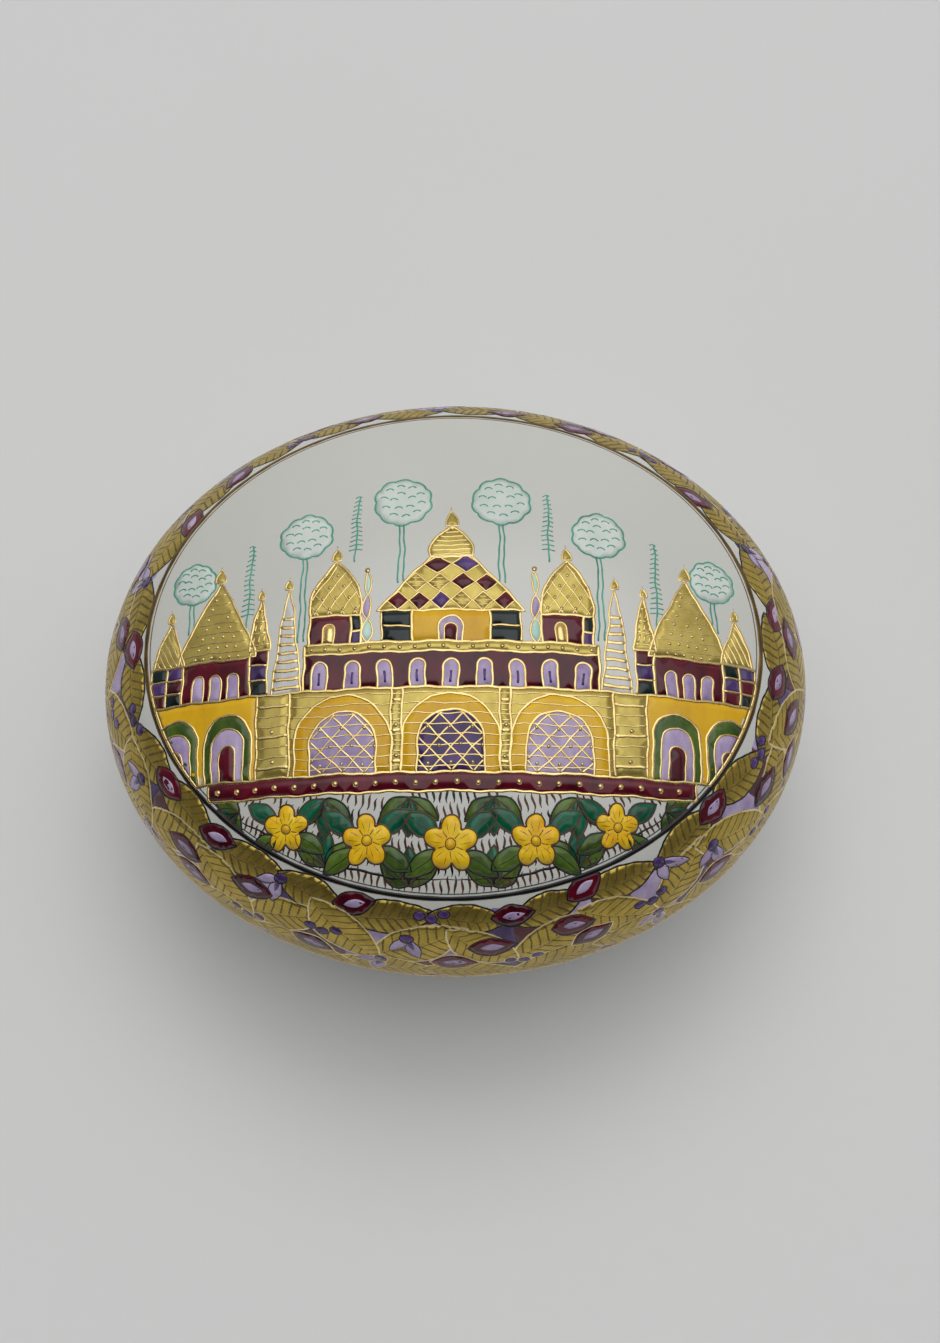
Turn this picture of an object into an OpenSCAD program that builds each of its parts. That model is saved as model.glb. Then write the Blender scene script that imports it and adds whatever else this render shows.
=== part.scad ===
// Oval porcelain trinket box with a domed lift-off lid.
// The origin is the middle of the foot ring's underside, +X is the long way and +Z is up.
// Every round profile is turned about Z, then drawn in across Y to make the oval.

/* [Overall size] */
// Length of the lid at its rim, along X
box_length = 115; // [110:1:122]
// Width of the lid at its rim, along Y
box_width = 97; // [90:1:104]
// Height of the base from the foot to the seam
base_height = 30; // [28:0.5:34]
// Height of the lid from the seam to the top of the crown
lid_height = 30; // [28:0.5:34]

/* [Lid] */
// Radius of the rounded shoulder, seen along the width
shoulder_radius = 20; // [16:0.5:22]
// Height of the upright rim below the shoulder
skirt_height = 1.6; // [1:0.1:2.5]
// Thickness of the lid's porcelain at the rim
lid_wall = 2.8; // [2.4:0.1:3.4]

/* [Base] */
// How far the lid overhangs the base's rim at the ends
overhang = 0.6; // [0.4:0.1:1]
// Lean of the bowl's wall from upright, just below the rim, in degrees
wall_lean = 15; // [12:1:18]
// Radius of the bowl's inside curve
bowl_radius = 30; // [28:0.5:31]
// Thickness of the bowl's floor
floor_thickness = 3; // [2.6:0.2:3.6]
// Height of the locating flange above the seam
flange_height = 3.2; // [2.4:0.2:4]
// Depth below the seam at which the flange's inside face begins
flange_root = 2; // [1:0.5:4]
// Thickness of the locating flange
flange_wall = 1.9; // [1.6:0.1:2.2]
// Gap between the locating flange and the lid, at the ends
flange_gap = 0.5; // [0.4:0.05:0.8]

/* [Foot ring] */
// Length of the foot ring, along X
foot_length = 76; // [72:1:78]
// Width of the foot ring's flat underside
foot_land = 3; // [2.4:0.2:4]
// Step from the foot ring out to the bowl's wall
foot_step = 0.6; // [0.4:0.1:1]
// Height of the foot ring
foot_height = 3.5; // [3:0.1:4]
// Depth of the recess inside the foot ring
recess_depth = 2; // [1.6:0.1:2.4]

/* [Decoration] */
// Thickness of the glazed enamel and gold coats
coat = 0.3; // [0.2:0.05:0.4]
// Size of the frame line's oval, as a part of the lid's
frame_at = 0.83; // [0.81:0.005:0.85]
// Width of the frame line
frame_line = 0.7; // [0.5:0.05:0.9]
// Height of the gold band on the lid's rim
lid_band = 0.8; // [0.6:0.1:1]
// Height of the gold band on the base's rim
base_band = 0.8; // [0.6:0.1:1.2]
// Depth of the enamel border below the base's gold band
base_border_depth = 9; // [7:0.5:11]
// Height of the gold line round the foot ring
foot_line = 1; // [0.8:0.1:1.4]

/* [Hidden] */
$fn = 180;

seam = base_height;
half = box_length / 2;
oval = box_width / box_length;
// Hairline between one coat and the next, and between a coat and the porcelain
hairline = 0.01;
bed = coat + hairline;
// Overlap that makes a cutting shape pass through a face
over = 1;

// Lid: the shoulder arc is centred at (shoulder_x, skirt_height) above the seam, and the crown arc,
// centred on the axis, meets it without a corner
shoulder_x = half - shoulder_radius;
crown_rise = lid_height - skirt_height;
crown_radius = (shoulder_x^2 + crown_rise^2 - shoulder_radius^2) / (2 * (crown_rise - shoulder_radius));
crown_z = lid_height - crown_radius;
tangent_angle = atan2(skirt_height - crown_z, shoulder_x);

// Base: the outside arc starts at the rim, leaning in by wall_lean, and ends on the foot ring
rim_x = half - overhang;
foot_x = foot_length / 2 + foot_step;
ring_outer = foot_length / 2;
foot_line_z = (foot_height - foot_line) / 2;
border_foot = seam - base_band - base_border_depth;
arc_run = rim_x - foot_x;
arc_rise = seam - foot_height;
arc_inward = arc_run * cos(wall_lean) - arc_rise * sin(wall_lean);
wall_radius = (arc_run^2 + arc_rise^2) / (2 * arc_inward);
wall_x = rim_x - wall_radius * cos(wall_lean);
wall_z = seam + wall_radius * sin(wall_lean);
flange_outer = half - lid_wall - flange_gap;
flange_inner = flange_outer - flange_wall;
floor_z = recess_depth + floor_thickness;
bowl_z = floor_z + bowl_radius;
bowl_x = flange_inner - sqrt(bowl_radius^2 - (bowl_z - seam + flange_root)^2);

porcelain = [0.93, 0.92, 0.90];
gold = [0.80, 0.64, 0.27];
leaf_olive = [0.62, 0.56, 0.24];
line_black = [0.10, 0.07, 0.05];
painted_yellow = [0.80, 0.62, 0.20];

// A profile turned about Z in four quarters, each drawn in across Y
module oval_turn() {
    for (turn = [0:90:270])
        scale([1, oval, 1])
            rotate([0, 0, turn])
                rotate_extrude(angle = 90)
                    children();
}

// Everything in the half plane from radius r0 to r1
module between(r0, r1) {
    translate([r0, -over])
        square([r1 - r0, 2 * lid_height]);
}

// Section under the dome, with the seam at zero height, drawn in by inset all over
module dome_section(inset) {
    tangent_x = (crown_radius - inset) * cos(tangent_angle);
    intersection() {
        square([tangent_x, lid_height]);
        translate([0, crown_z])
            circle(r = crown_radius - inset);
    }
    intersection() {
        translate([tangent_x, skirt_height])
            square([half - tangent_x, lid_height]);
        translate([shoulder_x, skirt_height])
            circle(r = shoulder_radius - inset);
    }
    square([half - inset, skirt_height]);
}

// Section of the coat on the dome, from radius r0 to r1
module dome_coat(r0, r1) {
    intersection() {
        difference() {
            dome_section(0);
            dome_section(coat);
        }
        between(r0, r1);
    }
}

// Section inside the base's outer surface, drawn in by inset along the wall
module wall_section(inset) {
    intersection() {
        translate([0, foot_height])
            square([half, seam - foot_height]);
        translate([wall_x, wall_z])
            circle(r = wall_radius - inset);
    }
    translate([0, foot_height])
        square([max(wall_x, over), seam - foot_height]);
}

// Section between the base's outer surface and depth below it, from height z0 to z1
module wall_coat(z0, z1, depth) {
    intersection() {
        difference() {
            wall_section(0);
            wall_section(depth);
        }
        translate([0, z0])
            square([half, z1 - z0]);
    }
}

// Section of the foot ring and of the plate across it, which is the bowl's floor
module foot_section() {
    translate([ring_outer - foot_land, 0])
        square([foot_land, foot_height + over]);
    translate([0, recess_depth])
        square([ring_outer - over, floor_thickness + over]);
}

// Section of the locating flange, with a round top
module flange_section() {
    translate([flange_inner, seam - over])
        square([flange_wall, over + flange_height - flange_wall / 2]);
    translate([flange_inner + flange_wall / 2, seam + flange_height - flange_wall / 2])
        intersection() {
            circle(d = flange_wall);
            translate([-flange_wall, 0])
                square([2 * flange_wall, flange_wall]);
        }
}

// Section of the bowl's hollow: a flat floor, an arc that rises from it without a corner, and the
// upright face inside the flange
module hollow_section() {
    translate([-over, floor_z])
        square([bowl_x + over, seam]);
    intersection() {
        translate([bowl_x, bowl_z])
            circle(r = bowl_radius);
        translate([bowl_x, floor_z - over])
            square([flange_inner - bowl_x, seam - floor_z + 2 * over]);
    }
}

// Porcelain bowl with its foot ring and locating flange
module base() {
    color(porcelain)
        oval_turn()
            union() {
                flange_section();
                difference() {
                    union() {
                        wall_section(0);
                        foot_section();
                    }
                    hollow_section();
                    wall_coat(border_foot - hairline, seam + over, bed);
                    translate([ring_outer - bed, foot_line_z - hairline])
                        square([over, foot_line + 2 * hairline]);
                }
            }
}

// Enamel border round the upper part of the bowl
module base_border_enamel() {
    color(leaf_olive)
        oval_turn()
            wall_coat(border_foot, seam - base_band - hairline, coat);
}

// Gold band on the base's rim
module base_gilt_band() {
    color(gold)
        oval_turn()
            wall_coat(seam - base_band, seam, coat);
}

// Gold line round the foot ring
module foot_gilt_line() {
    color(gold)
        oval_turn()
            translate([ring_outer - coat, foot_line_z])
                square([coat, foot_line]);
}

// Porcelain dome, open below
module lid() {
    color(porcelain)
        translate([0, 0, seam])
            oval_turn()
                difference() {
                    dome_section(bed);
                    dome_section(lid_wall);
                }
}

// Painted picture on the crown
module lid_picture_enamel() {
    color(painted_yellow)
        translate([0, 0, seam])
            oval_turn()
                dome_coat(0, half * frame_at - frame_line / 2 - hairline);
}

// Dark line round the picture
module lid_frame_line() {
    color(line_black)
        translate([0, 0, seam])
            oval_turn()
                dome_coat(half * frame_at - frame_line / 2, half * frame_at + frame_line / 2);
}

// Leaf border on the shoulder
module lid_border_enamel() {
    color(leaf_olive)
        translate([0, 0, seam])
            oval_turn()
                intersection() {
                    dome_coat(half * frame_at + frame_line / 2 + hairline, half + over);
                    translate([0, lid_band + hairline])
                        square([half + over, lid_height]);
                }
}

// Gold band on the lid's rim
module lid_gilt_band() {
    color(gold)
        translate([0, 0, seam])
            oval_turn()
                translate([half - coat, 0])
                    square([coat, lid_band]);
}

base();
base_border_enamel();
base_gilt_band();
foot_gilt_line();
lid();
lid_picture_enamel();
lid_frame_line();
lid_border_enamel();
lid_gilt_band();
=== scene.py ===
"""Looks of the oval porcelain trinket box: glazed porcelain, overglaze enamel and fired gold.

Design sizes are in millimetres, like the model's own, and become metres when a mesh is made.
The lid's picture is drawn in plan, seen from above. Borders are drawn on a strip: distance round the oval,
then distance down the surface.
"""
import math

import bpy
import numpy as np
from mathutils import Matrix, Vector
from mathutils.geometry import delaunay_2d_cdt


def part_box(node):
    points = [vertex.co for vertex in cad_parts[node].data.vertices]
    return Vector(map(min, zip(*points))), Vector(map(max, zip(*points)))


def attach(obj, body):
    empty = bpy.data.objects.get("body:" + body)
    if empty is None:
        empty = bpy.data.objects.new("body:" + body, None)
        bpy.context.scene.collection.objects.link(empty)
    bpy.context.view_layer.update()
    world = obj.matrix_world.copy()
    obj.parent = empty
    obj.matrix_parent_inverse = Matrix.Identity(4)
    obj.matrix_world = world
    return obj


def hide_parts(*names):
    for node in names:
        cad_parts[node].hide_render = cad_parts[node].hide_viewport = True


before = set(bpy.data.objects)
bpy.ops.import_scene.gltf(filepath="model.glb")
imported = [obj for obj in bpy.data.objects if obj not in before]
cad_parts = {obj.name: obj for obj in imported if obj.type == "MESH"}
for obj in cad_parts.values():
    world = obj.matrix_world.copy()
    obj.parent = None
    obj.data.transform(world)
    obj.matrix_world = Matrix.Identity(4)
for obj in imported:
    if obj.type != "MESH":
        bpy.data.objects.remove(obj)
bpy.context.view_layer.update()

MM = 0.001
TAU = 2 * math.pi
rng = np.random.default_rng(20)

# ------------------------------------------------------------------ sizes, from the frame
band_low, band_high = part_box("lid_gilt_band")
HALF = band_high.x / MM
OVAL = band_high.y / band_high.x
SEAM = band_low.z / MM
BAND = (band_high.z - band_low.z) / MM
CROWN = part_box("lid_picture_enamel")[1].z / MM
RING_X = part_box("foot_gilt_line")[1].x / MM
RIM_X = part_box("base_gilt_band")[1].x / MM
base_border_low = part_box("base_border_enamel")[0].z / MM

# Sizes and angles that the boxes can't give, as in the model
SHOULDER = 20.0
SKIRT = 1.6
FRAME_AT = 0.83 * HALF
FRAME_WIDTH = 0.7
LID_WALL = 2.8
FOOT_STEP = 0.6
FOOT_LAND = 3.0
FOOT_HEIGHT = 3.5
RECESS = 2.0
WALL_LEAN = math.radians(15)
BOWL_RADIUS = 30.0
FLOOR = 5.0
FLANGE_GAP = 0.5
FLANGE_WALL = 1.9
FLANGE_HEIGHT = 3.2
FLANGE_ROOT = 2.0

# The glaze lies this far below the model's surface, so that raised enamel and gold stay inside it
GLAZE_DEPTH = 0.09
# Painted shells start this far inside the glaze, and a field's edge is this much lower than its middle
SINK = 0.03
EDGE_FALL = 0.003
# Heights above the glaze of an ordinary line, a hatching line, a pillar's course and a raised gold line
LINE_TOP = 0.058
HATCH_TOP = 0.062
COURSE_TOP = 0.068
GOLD_TOP = 0.072
# Lower lines: grass, the garden's stem, a tree's stem and branches, its outline, and the arcs for its leaves
GRASS_TOP = 0.017
STEM_TOP = 0.020
THIN_TOP = 0.03
CANOPY_TOP = 0.032
ARC_TOP = 0.034
# Points across a painted line, from one foot over its back to the other
SECTION = 5


# ------------------------------------------------------------------ surfaces
class Turned:
    """A profile turned about Z and drawn in across Y. Run is the distance along the profile."""

    def __init__(self, radius, height):
        self.radius, self.height = np.array(radius, float), np.array(height, float)
        step = np.hypot(np.diff(self.radius), np.diff(self.height))
        self.run = np.concatenate([[0], np.cumsum(step)])
        along_r = np.gradient(self.radius, self.run)
        along_z = np.gradient(self.height, self.run)
        size = np.hypot(along_r, along_z)
        self.normal_r, self.normal_z = -along_z / size, along_r / size

    def at(self, angle, run, lift):
        """Points at an angle round the oval and a run down the profile, lifted off the glaze."""
        r = np.interp(run, self.run, self.radius)
        z = np.interp(run, self.run, self.height)
        nr = np.interp(run, self.run, self.normal_r)
        nz = np.interp(run, self.run, self.normal_z)
        c, s = np.cos(angle), np.sin(angle)
        normal = np.stack([nr * c, nr * s / OVAL, nz], -1)
        normal /= np.linalg.norm(normal, axis=-1, keepdims=True)
        point = np.stack([r * c, OVAL * r * s, z], -1)
        return point + normal * np.asarray(lift)[..., None]


class Plan:
    """Drawing plane over the crown: x to the right, y to the back."""

    left_handed = False
    step = 0.8

    def __init__(self, turned, limit):
        self.turned, self.limit = turned, limit

    def place(self, flat, lift):
        x, y = flat[:, 0], flat[:, 1] / OVAL
        run = np.interp(np.hypot(x, y), self.turned.radius, self.turned.run)
        return self.turned.at(np.arctan2(y, x), run, lift)

    def pull_in(self, flat):
        """Brings points past the oval that the picture may fill back to its edge."""
        reach = np.hypot(flat[:, 0], flat[:, 1] / OVAL) / self.limit
        return flat / np.maximum(reach, 1.0)[:, None]


class Strip:
    """Drawing strip round a turned surface: u is the distance round it, v the distance down from run_at."""

    left_handed = True
    step = 0.55

    def __init__(self, turned, run_at, measured_at, depth):
        self.turned, self.run_at, self.depth = turned, run_at, depth
        angle = np.linspace(0, TAU, 2881)
        r = np.interp(run_at + measured_at, turned.run, turned.radius)
        speed = r * np.hypot(np.sin(angle), OVAL * np.cos(angle))
        arc = np.concatenate([[0], np.cumsum((speed[1:] + speed[:-1]) / 2 * np.diff(angle))])
        self.angle, self.arc, self.length = angle, arc, arc[-1]

    def place(self, flat, lift):
        turns = np.floor(flat[:, 0] / self.length)
        angle = np.interp(flat[:, 0] - turns * self.length, self.arc, self.angle)
        return self.turned.at(angle, self.run_at + flat[:, 1], lift)

    def pull_in(self, flat):
        """Brings points past the strip's sides back to them."""
        return np.stack([flat[:, 0], np.clip(flat[:, 1], 0, self.depth)], -1)


def arc_points(cx, cz, radius, a0, a1, n):
    a = np.linspace(a0, a1, n)
    return np.stack([cx + radius * np.cos(a), cz + radius * np.sin(a)], -1)


# Dome: a crown arc centred on the axis meets the shoulder arc without a corner, then an upright skirt
shoulder_x = HALF - SHOULDER
crown_rise = CROWN - SEAM - SKIRT
crown_radius = (shoulder_x**2 + crown_rise**2 - SHOULDER**2) / (2 * (crown_rise - SHOULDER))
crown_z = CROWN - crown_radius
tangent = math.atan2(SEAM + SKIRT - crown_z, shoulder_x)


def dome_profile(inset, fine):
    """Points from the crown's centre down to the rim, drawn in by inset."""
    crown = arc_points(0, crown_z, crown_radius - inset, math.pi / 2, tangent, 12 * fine)
    shoulder = arc_points(shoulder_x, SEAM + SKIRT, SHOULDER - inset, tangent, 0, 14 * fine)
    skirt = np.array([[HALF - inset, SEAM]])
    return np.concatenate([crown, shoulder[1:], skirt])


# Bowl: one arc from the rim to the foot ring
foot_x = RING_X + FOOT_STEP
arc_run, arc_rise = RIM_X - foot_x, SEAM - FOOT_HEIGHT
chord_lean = arc_run * math.cos(WALL_LEAN) - arc_rise * math.sin(WALL_LEAN)
wall_radius = (arc_run**2 + arc_rise**2) / 2 / chord_lean
wall_x = RIM_X - wall_radius * math.cos(WALL_LEAN)
wall_z = SEAM + wall_radius * math.sin(WALL_LEAN)
wall_foot = -math.asin((wall_z - FOOT_HEIGHT) / wall_radius)


def wall_profile(inset, fine):
    """Points from the base's rim down to the foot, drawn in by inset."""
    return arc_points(wall_x, wall_z, wall_radius - inset, -WALL_LEAN, wall_foot, 14 * fine)


dome = Turned(*dome_profile(GLAZE_DEPTH, 40).T)
wall = Turned(*wall_profile(GLAZE_DEPTH, 40).T)
ring = Turned(np.full(8, RING_X - GLAZE_DEPTH), np.linspace(FOOT_HEIGHT, 0, 8))
frame_run = float(np.interp(FRAME_AT, dome.radius[:-2], dome.run[:-2]))
rim_run = float(dome.run[-1])
picture = Plan(dome, FRAME_AT - FRAME_WIDTH / 2)
border_depth = rim_run - frame_run - FRAME_WIDTH / 2 - BAND
border = Strip(dome, frame_run + FRAME_WIDTH / 2, 6.0, border_depth)
base_depth = SEAM - BAND - base_border_low
bowl_border = Strip(wall, BAND / math.cos(WALL_LEAN), 3.0, base_depth)


# ------------------------------------------------------------------ meshes
def make_mesh(name, points, faces, smooth, tone=None, finish=None):
    """A mesh object from triangles. Points are in millimetres."""
    mesh = bpy.data.meshes.new(name)
    mesh.vertices.add(len(points))
    mesh.vertices.foreach_set("co", (np.asarray(points) * MM).astype(np.float32).ravel())
    mesh.loops.add(faces.size)
    mesh.loops.foreach_set("vertex_index", faces.astype(np.int32).ravel())
    mesh.polygons.add(len(faces))
    sides = faces.shape[1]
    mesh.polygons.foreach_set("loop_start", np.arange(0, faces.size, sides, dtype=np.int32))
    mesh.polygons.foreach_set("use_smooth", np.full(len(faces), smooth))
    if finish is not None:
        mesh.polygons.foreach_set("material_index", finish.astype(np.int32))
    if tone is not None:
        mesh.attributes.new("tone", "FLOAT", "POINT").data.foreach_set("value", tone.astype(np.float32))
    mesh.update(calc_edges=True)
    mesh.validate()
    obj = bpy.data.objects.new(name, mesh)
    bpy.context.scene.collection.objects.link(obj)
    return obj


def lathe(name, profile, around, finish):
    """A closed body turned about Z and drawn in across Y. The profile runs from the axis to the axis."""
    inner = profile[1:-1]
    angle = np.linspace(0, TAU, around, endpoint=False)
    c, s = np.cos(angle), np.sin(angle)
    rings = np.stack([inner[:, :1] * c, OVAL * inner[:, :1] * s, np.repeat(inner[:, 1:], around, 1)], -1)
    points = np.concatenate([rings.reshape(-1, 3), [[0, 0, profile[0, 1]], [0, 0, profile[-1, 1]]]])
    here = np.arange(around)
    then = (here + 1) % around
    quads = []
    for row in range(len(inner) - 1):
        a, b = row * around, (row + 1) * around
        quads.append(np.stack([a + here, b + here, b + then, a + then], -1))
    quads = np.concatenate(quads)
    first, last = len(points) - 2, len(points) - 1
    end = (len(inner) - 1) * around
    first_cap = np.stack([np.full(around, first), here, then], -1)
    last_cap = np.stack([end + then, end + here, np.full(around, last)], -1)
    tris = np.concatenate([quads[:, [0, 1, 2]], quads[:, [0, 2, 3]], first_cap, last_cap])
    kind = np.repeat(finish[1:-2], around)
    kinds = np.concatenate([kind, kind, np.full(around, finish[0]), np.full(around, finish[-2])])
    return make_mesh(name, points, tris, True, finish=kinds)


def eased(corners, radius):
    """Straight runs between corners, with each corner but the ends turned into a small bend."""
    corners = np.array(corners, float)
    made = [corners[:1]]
    t = np.linspace(0, 1, 6)[:, None]
    for before, here, after in zip(corners[:-2], corners[1:-1], corners[2:]):
        back, on = before - here, after - here
        back_size, on_size = np.linalg.norm(back), np.linalg.norm(on)
        start = here + back / back_size * min(radius, back_size / 2)
        stop = here + on / on_size * min(radius, on_size / 2)
        made.append((1 - t) ** 2 * start + 2 * t * (1 - t) * here + t**2 * stop)
    return np.concatenate([*made, corners[-1:]])


GLAZED, BARE, GILDED = 0, 1, 2
GILT_EDGE = 0.55
AROUND = 288
RIM_EASE = 0.4


def porcelain_lid():
    outside = dome_profile(GLAZE_DEPTH, 4)[:-1]
    x_out, x_in = HALF - GLAZE_DEPTH, HALF - LID_WALL
    top = SEAM + SKIRT
    rim = eased([[x_out, top], [x_out, SEAM], [x_in, SEAM], [x_in, top]], RIM_EASE)[1:-1]
    inside = dome_profile(LID_WALL, 4)[:-1][::-1]
    profile = np.concatenate([outside, rim, inside])
    kind = np.full(len(profile), GLAZED)
    kind[(profile[:, 1] < SEAM + GILT_EDGE) & (profile[:, 0] > x_out - RIM_EASE)] = GILDED
    kind[(profile[:, 1] < SEAM + 0.01) & (profile[:, 0] < x_out - RIM_EASE / 2)] = BARE
    return lathe("lid_porcelain", profile, AROUND, kind)


def porcelain_base():
    flange_out = HALF - LID_WALL - FLANGE_GAP
    flange_in = flange_out - FLANGE_WALL
    bowl_z = FLOOR + BOWL_RADIUS
    join_z = SEAM - FLANGE_ROOT
    bowl_x = flange_in - math.sqrt(BOWL_RADIUS**2 - (bowl_z - join_z) ** 2)
    join = math.asin((join_z - bowl_z) / BOWL_RADIUS)
    floor = np.array([[0, FLOOR], [bowl_x / 3, FLOOR], [bowl_x * 2 / 3, FLOOR]])
    bowl = arc_points(bowl_x, bowl_z, BOWL_RADIUS, -math.pi / 2, join, 40)
    flange_top = SEAM + FLANGE_HEIGHT
    rim_x = RIM_X - GLAZE_DEPTH
    corners = [bowl[-1], [flange_in, flange_top], [flange_out, flange_top], [flange_out, SEAM], [rim_x, SEAM]]
    outside = wall_profile(GLAZE_DEPTH, 4)
    rim = eased([*corners, outside[1]], RIM_EASE)[1:-1]
    ring_out = RING_X - GLAZE_DEPTH
    ring_in = RING_X - FOOT_LAND
    feet = [outside[-1], [ring_out, FOOT_HEIGHT], [ring_out, 0], [ring_in, 0], [ring_in, RECESS], [0, RECESS]]
    foot = eased(feet, RIM_EASE)[1:]
    profile = np.concatenate([floor, bowl, rim, outside[2:], foot])
    x, z = profile.T
    kind = np.full(len(profile), GLAZED)
    kind[(z > SEAM - GILT_EDGE) & (x > rim_x - RIM_EASE)] = GILDED
    kind[(abs(z - SEAM) < 0.01) & (x > flange_out) & (x < rim_x - RIM_EASE / 2)] = BARE
    kind[z < 0.05] = BARE
    return lathe("base_porcelain", profile, AROUND, kind)


# ------------------------------------------------------------------ drawing shapes
def fine_edges(points, step, closed):
    """The same path with no run longer than step."""
    points = np.asarray(points, float)
    ends = np.roll(points, -1, 0) if closed else points[1:]
    made = []
    for a, b in zip(points, ends):
        n = max(1, int(math.ceil(np.hypot(*(b - a)) / step)))
        made.append(a + (b - a) * (np.arange(n) / n)[:, None])
    if not closed:
        made.append(points[-1:])
    return np.concatenate(made)


def inside(outline, points):
    """Which points lie in a closed outline."""
    x, y = points[:, :1], points[:, 1:]
    x0, y0 = outline[:, 0], outline[:, 1]
    x1, y1 = np.roll(x0, -1), np.roll(y0, -1)
    crosses = (y0 > y) != (y1 > y)
    rise = np.where(y1 == y0, 1, y1 - y0)
    return (crosses & (x < (x1 - x0) * (y - y0) / rise + x0)).sum(1) % 2 == 1


def tremble(flat):
    """The small unevenness of a painter's hand, the same for a field and its outline."""
    x, y = flat[:, 0], flat[:, 1]
    dx = 0.10 * np.sin(0.83 * y + 0.31 * x + 1.0) + 0.05 * np.sin(1.9 * y - 0.7 * x)
    dy = 0.10 * np.sin(0.71 * x - 0.23 * y + 2.0) + 0.05 * np.sin(2.1 * x + 0.9 * y)
    return flat + np.stack([dx, dy], -1)


def triangulate(outline, grid):
    """Points and triangles that fill a closed outline."""
    low, high = outline.min(0), outline.max(0)
    gx = np.arange(low[0] + grid / 2, high[0], grid)
    gy = np.arange(low[1] + grid / 2, high[1], grid)
    middle = np.stack(np.meshgrid(gx, gy), -1).reshape(-1, 2)
    middle = middle[inside(outline, middle)]
    if len(middle):
        near = np.sqrt(((middle[:, None] - outline[None]) ** 2).sum(-1)).min(1)
        middle = middle[near > 0.45 * grid]
    n = len(outline)
    points = [Vector(p) for p in np.concatenate([outline, middle])]
    edges = [(i, (i + 1) % n) for i in range(n)]
    verts, _, faces, *_ = delaunay_2d_cdt(points, edges, [], 0, 1e-5)
    verts = np.array([tuple(v) for v in verts])
    faces = np.array([f for f in faces if len(f) == 3])
    a, b, c = verts[faces[:, 0]], verts[faces[:, 1]], verts[faces[:, 2]]
    area = np.cross(b - a, c - a)
    keep = inside(outline, (a + b + c) / 3) & (abs(area) > 1e-7)
    faces, area = faces[keep], area[keep]
    faces[area < 0] = faces[area < 0][:, ::-1]
    return verts, faces


def border_of(faces, count):
    """Directed edges that only one triangle uses."""
    edges = np.concatenate([faces[:, [0, 1]], faces[:, [1, 2]], faces[:, [2, 0]]])
    code = edges[:, 0] * count + edges[:, 1]
    back = edges[:, 1] * count + edges[:, 0]
    return edges[~np.isin(code, back)]


def field_top(level):
    """How high above the glaze a painted field of that level lies."""
    return 0.010 + 0.014 * level


def edge_top(level):
    """The top of an outline that a field of the next level still covers."""
    return field_top(level) + 0.007


def tube_faces(here, then):
    """Triangles between the sections of a painted line, from each section to the one after it."""
    near, far = here * SECTION, then * SECTION
    faces = []
    for k in range(SECTION):
        m = (k + 1) % SECTION
        a, b, c, d = near + k, near + m, far + m, far + k
        faces += [np.stack([a, b, c], -1), np.stack([a, c, d], -1)]
    return np.concatenate(faces)


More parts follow.
